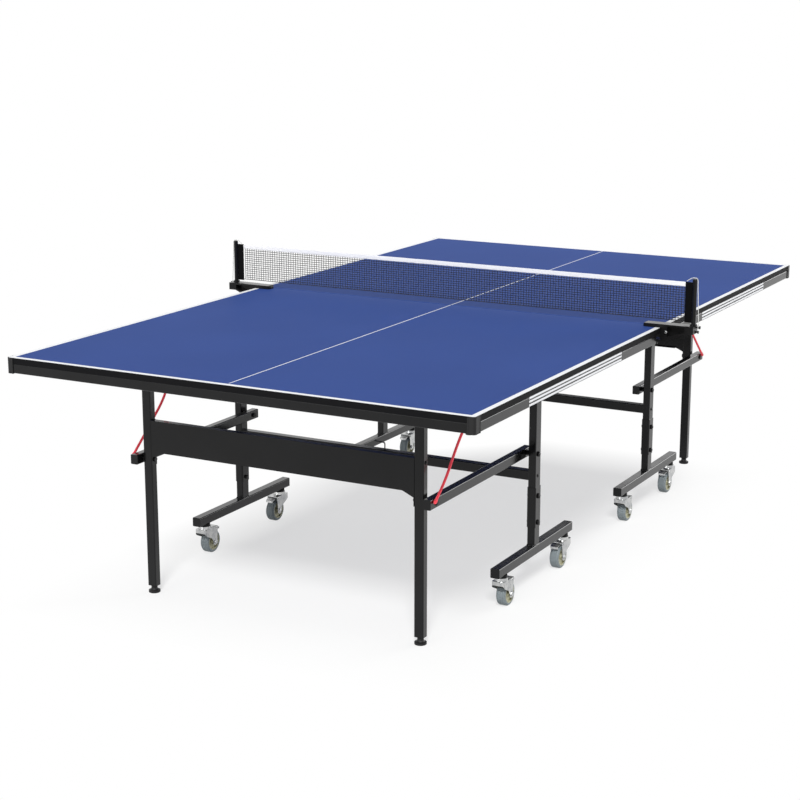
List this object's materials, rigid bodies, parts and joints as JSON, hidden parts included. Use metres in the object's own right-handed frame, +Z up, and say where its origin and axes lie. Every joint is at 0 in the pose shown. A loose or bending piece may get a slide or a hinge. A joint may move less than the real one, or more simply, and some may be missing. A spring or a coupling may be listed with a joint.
{
  "type": "folding table tennis table",
  "caption": "Folding table tennis table in two wheeled halves, each with a fold-up blue top, parallel legs and struts, swivel casters and a clamp-on net.",
  "frame": {"origin": "on the floor under the middle of the net", "axes": "+X along the table to the far half, +Y to the left side, +Z up"},
  "size_m": [2.7446, 1.768, 0.9264],
  "materials": {
    "table_board": "matte blue playing lacquer on board, white lines, black edge",
    "frame_paint": "satin black powder coat on steel",
    "black_plastic": "moulded black",
    "clamp_black": "black enamel",
    "zinc_steel": "bright zinc plate",
    "brake_steel": "dark plated pedal",
    "wheel_rubber": "blue-grey tread on a cream hub",
    "release_cord": "red braided cord",
    "white_cord": "white twisted cord",
    "net_mesh": "dark knotted mesh with a white top tape"
  },
  "bodies": {
    "near_base": {"near_posts": "frame_paint", "near_crossbar": "frame_paint", "near_base_beams": "frame_paint", "near_base_fasteners": "zinc_steel"},
    "near_top": {"near_top_panel": "table_board", "near_top_frame": "frame_paint", "near_corner_caps": "black_plastic", "near_pivot_brackets": "frame_paint", "near_left_release_cord": "release_cord", "near_right_release_cord": "release_cord", "net": "net_mesh", "net_cord": "white_cord", "left_net_clamp": "clamp_black", "right_net_clamp": "clamp_black"},
    "near_legs": {"near_legs": "frame_paint", "near_leg_plate": "frame_paint"},
    "near_struts": {"near_struts": "frame_paint"},
    "near_left_foot": {"near_left_foot": "black_plastic"},
    "near_left_outer_fork": {"near_left_outer_fork": "zinc_steel"},
    "near_left_outer_wheel": {"near_left_outer_wheel": "wheel_rubber"},
    "near_left_outer_brake": {"near_left_outer_brake": "brake_steel"},
    "near_left_inner_fork": {"near_left_inner_fork": "zinc_steel"},
    "near_left_inner_wheel": {"near_left_inner_wheel": "wheel_rubber"},
    "near_left_inner_brake": {"near_left_inner_brake": "brake_steel"},
    "near_right_foot": {"near_right_foot": "black_plastic"},
    "near_right_outer_fork": {"near_right_outer_fork": "zinc_steel"},
    "near_right_outer_wheel": {"near_right_outer_wheel": "wheel_rubber"},
    "near_right_outer_brake": {"near_right_outer_brake": "brake_steel"},
    "near_right_inner_fork": {"near_right_inner_fork": "zinc_steel"},
    "near_right_inner_wheel": {"near_right_inner_wheel": "wheel_rubber"},
    "near_right_inner_brake": {"near_right_inner_brake": "brake_steel"},
    "far_base": {"far_posts": "frame_paint", "far_crossbar": "frame_paint", "far_base_beams": "frame_paint", "far_base_fasteners": "zinc_steel"},
    "far_top": {"far_top_panel": "table_board", "far_top_frame": "frame_paint", "far_corner_caps": "black_plastic", "far_pivot_brackets": "frame_paint", "far_left_release_cord": "release_cord", "far_right_release_cord": "release_cord"},
    "far_legs": {"far_legs": "frame_paint", "far_leg_plate": "frame_paint"},
    "far_struts": {"far_struts": "frame_paint"},
    "far_left_foot": {"far_left_foot": "black_plastic"},
    "far_left_outer_fork": {"far_left_outer_fork": "zinc_steel"},
    "far_left_outer_wheel": {"far_left_outer_wheel": "wheel_rubber"},
    "far_left_outer_brake": {"far_left_outer_brake": "brake_steel"},
    "far_left_inner_fork": {"far_left_inner_fork": "zinc_steel"},
    "far_left_inner_wheel": {"far_left_inner_wheel": "wheel_rubber"},
    "far_left_inner_brake": {"far_left_inner_brake": "brake_steel"},
    "far_right_foot": {"far_right_foot": "black_plastic"},
    "far_right_outer_fork": {"far_right_outer_fork": "zinc_steel"},
    "far_right_outer_wheel": {"far_right_outer_wheel": "wheel_rubber"},
    "far_right_outer_brake": {"far_right_outer_brake": "brake_steel"},
    "far_right_inner_fork": {"far_right_inner_fork": "zinc_steel"},
    "far_right_inner_wheel": {"far_right_inner_wheel": "wheel_rubber"},
    "far_right_inner_brake": {"far_right_inner_brake": "brake_steel"},
    "left_clamp_screw": {"left_clamp_screw": "black_plastic"},
    "right_clamp_screw": {"right_clamp_screw": "black_plastic"}
  },
  "joints": [
    {"name": "near_fold", "type": "hinge", "parent": "near_base", "child": "near_top", "pos_m": [-0.486, 0, 0.717], "axis": [0, 1, 0], "range_deg": [0, 90], "deforming": ["near_left_release_cord", "near_right_release_cord", "net", "net_cord"]},
    {"name": "near_leg_hinge", "type": "hinge", "parent": "near_top", "child": "near_legs", "pos_m": [-1.094, 0, 0.717], "axis": [0, 1, 0], "range_deg": [-90, 0]},
    {"name": "near_strut_hinge", "type": "hinge", "parent": "near_base", "child": "near_struts", "pos_m": [-0.486, 0, 0.425], "axis": [0, 1, 0], "range_deg": [0, 90]},
    {"name": "near_left_foot_screw", "type": "slide", "parent": "near_legs", "child": "near_left_foot", "axis": [0, 0, 1], "range_m": [-0.012, 0]},
    {"name": "near_left_outer_swivel", "type": "hinge", "parent": "near_base", "child": "near_left_outer_fork", "pos_m": [-0.714, 0.5355, 0.09], "axis": [0, 0, 1], "continuous": true},
    {"name": "near_left_outer_roll", "type": "hinge", "parent": "near_left_outer_fork", "child": "near_left_outer_wheel", "pos_m": [-0.684, 0.5355, 0.0375], "axis": [0, 1, 0], "continuous": true},
    {"name": "near_left_outer_brake_pedal", "type": "hinge", "parent": "near_left_outer_fork", "child": "near_left_outer_brake", "pos_m": [-0.677, 0.5355, 0.081], "axis": [0, 1, 0], "range_deg": [0, 14]},
    {"name": "near_left_inner_swivel", "type": "hinge", "parent": "near_base", "child": "near_left_inner_fork", "pos_m": [-0.258, 0.5355, 0.09], "axis": [0, 0, 1], "continuous": true},
    {"name": "near_left_inner_roll", "type": "hinge", "parent": "near_left_inner_fork", "child": "near_left_inner_wheel", "pos_m": [-0.288, 0.5355, 0.0375], "axis": [0, 1, 0], "continuous": true},
    {"name": "near_left_inner_brake_pedal", "type": "hinge", "parent": "near_left_inner_fork", "child": "near_left_inner_brake", "pos_m": [-0.295, 0.5355, 0.081], "axis": [0, -1, 0], "range_deg": [0, 14]},
    {"name": "near_right_foot_screw", "type": "slide", "parent": "near_legs", "child": "near_right_foot", "axis": [0, 0, 1], "range_m": [-0.012, 0]},
    {"name": "near_right_outer_swivel", "type": "hinge", "parent": "near_base", "child": "near_right_outer_fork", "pos_m": [-0.714, -0.5355, 0.09], "axis": [0, 0, 1], "continuous": true},
    {"name": "near_right_outer_roll", "type": "hinge", "parent": "near_right_outer_fork", "child": "near_right_outer_wheel", "pos_m": [-0.684, -0.5355, 0.0375], "axis": [0, 1, 0], "continuous": true},
    {"name": "near_right_outer_brake_pedal", "type": "hinge", "parent": "near_right_outer_fork", "child": "near_right_outer_brake", "pos_m": [-0.677, -0.5355, 0.081], "axis": [0, 1, 0], "range_deg": [0, 14]},
    {"name": "near_right_inner_swivel", "type": "hinge", "parent": "near_base", "child": "near_right_inner_fork", "pos_m": [-0.258, -0.5355, 0.09], "axis": [0, 0, 1], "continuous": true},
    {"name": "near_right_inner_roll", "type": "hinge", "parent": "near_right_inner_fork", "child": "near_right_inner_wheel", "pos_m": [-0.288, -0.5355, 0.0375], "axis": [0, 1, 0], "continuous": true},
    {"name": "near_right_inner_brake_pedal", "type": "hinge", "parent": "near_right_inner_fork", "child": "near_right_inner_brake", "pos_m": [-0.295, -0.5355, 0.081], "axis": [0, -1, 0], "range_deg": [0, 14]},
    {"name": "far_fold", "type": "hinge", "parent": "far_base", "child": "far_top", "pos_m": [0.486, 0, 0.717], "axis": [0, -1, 0], "range_deg": [0, 90], "deforming": ["far_left_release_cord", "far_right_release_cord"]},
    {"name": "far_leg_hinge", "type": "hinge", "parent": "far_top", "child": "far_legs", "pos_m": [1.094, 0, 0.717], "axis": [0, -1, 0], "range_deg": [-90, 0]},
    {"name": "far_strut_hinge", "type": "hinge", "parent": "far_base", "child": "far_struts", "pos_m": [0.486, 0, 0.425], "axis": [0, -1, 0], "range_deg": [0, 90]},
    {"name": "far_left_foot_screw", "type": "slide", "parent": "far_legs", "child": "far_left_foot", "axis": [0, 0, 1], "range_m": [-0.012, 0]},
    {"name": "far_left_outer_swivel", "type": "hinge", "parent": "far_base", "child": "far_left_outer_fork", "pos_m": [0.714, 0.5355, 0.09], "axis": [0, 0, 1], "continuous": true},
    {"name": "far_left_outer_roll", "type": "hinge", "parent": "far_left_outer_fork", "child": "far_left_outer_wheel", "pos_m": [0.684, 0.5355, 0.0375], "axis": [0, 1, 0], "continuous": true},
    {"name": "far_left_outer_brake_pedal", "type": "hinge", "parent": "far_left_outer_fork", "child": "far_left_outer_brake", "pos_m": [0.677, 0.5355, 0.081], "axis": [0, -1, 0], "range_deg": [0, 14]},
    {"name": "far_left_inner_swivel", "type": "hinge", "parent": "far_base", "child": "far_left_inner_fork", "pos_m": [0.258, 0.5355, 0.09], "axis": [0, 0, 1], "continuous": true},
    {"name": "far_left_inner_roll", "type": "hinge", "parent": "far_left_inner_fork", "child": "far_left_inner_wheel", "pos_m": [0.288, 0.5355, 0.0375], "axis": [0, 1, 0], "continuous": true},
    {"name": "far_left_inner_brake_pedal", "type": "hinge", "parent": "far_left_inner_fork", "child": "far_left_inner_brake", "pos_m": [0.295, 0.5355, 0.081], "axis": [0, 1, 0], "range_deg": [0, 14]},
    {"name": "far_right_foot_screw", "type": "slide", "parent": "far_legs", "child": "far_right_foot", "axis": [0, 0, 1], "range_m": [-0.012, 0]},
    {"name": "far_right_outer_swivel", "type": "hinge", "parent": "far_base", "child": "far_right_outer_fork", "pos_m": [0.714, -0.5355, 0.09], "axis": [0, 0, 1], "continuous": true},
    {"name": "far_right_outer_roll", "type": "hinge", "parent": "far_right_outer_fork", "child": "far_right_outer_wheel", "pos_m": [0.684, -0.5355, 0.0375], "axis": [0, 1, 0], "continuous": true},
    {"name": "far_right_outer_brake_pedal", "type": "hinge", "parent": "far_right_outer_fork", "child": "far_right_outer_brake", "pos_m": [0.677, -0.5355, 0.081], "axis": [0, -1, 0], "range_deg": [0, 14]},
    {"name": "far_right_inner_swivel", "type": "hinge", "parent": "far_base", "child": "far_right_inner_fork", "pos_m": [0.258, -0.5355, 0.09], "axis": [0, 0, 1], "continuous": true},
    {"name": "far_right_inner_roll", "type": "hinge", "parent": "far_right_inner_fork", "child": "far_right_inner_wheel", "pos_m": [0.288, -0.5355, 0.0375], "axis": [0, 1, 0], "continuous": true},
    {"name": "far_right_inner_brake_pedal", "type": "hinge", "parent": "far_right_inner_fork", "child": "far_right_inner_brake", "pos_m": [0.295, -0.5355, 0.081], "axis": [0, 1, 0], "range_deg": [0, 14]},
    {"name": "halves_roll_apart", "type": "slide", "parent": "near_base", "child": "far_base", "axis": [1, 0, 0], "range_m": [0, 0.6]},
    {"name": "left_clamp_screw_travel", "type": "slide", "parent": "near_top", "child": "left_clamp_screw", "axis": [0, 0, 1], "range_m": [-0.01, 0]},
    {"name": "right_clamp_screw_travel", "type": "slide", "parent": "near_top", "child": "right_clamp_screw", "axis": [0, 0, 1], "range_m": [-0.01, 0]}
  ],
  "couplings": [
    {"joint": "near_leg_hinge", "follows": "near_fold", "ratio": -1},
    {"joint": "near_strut_hinge", "follows": "near_fold", "ratio": 1},
    {"joint": "far_leg_hinge", "follows": "far_fold", "ratio": -1},
    {"joint": "far_strut_hinge", "follows": "far_fold", "ratio": 1}
  ]
}
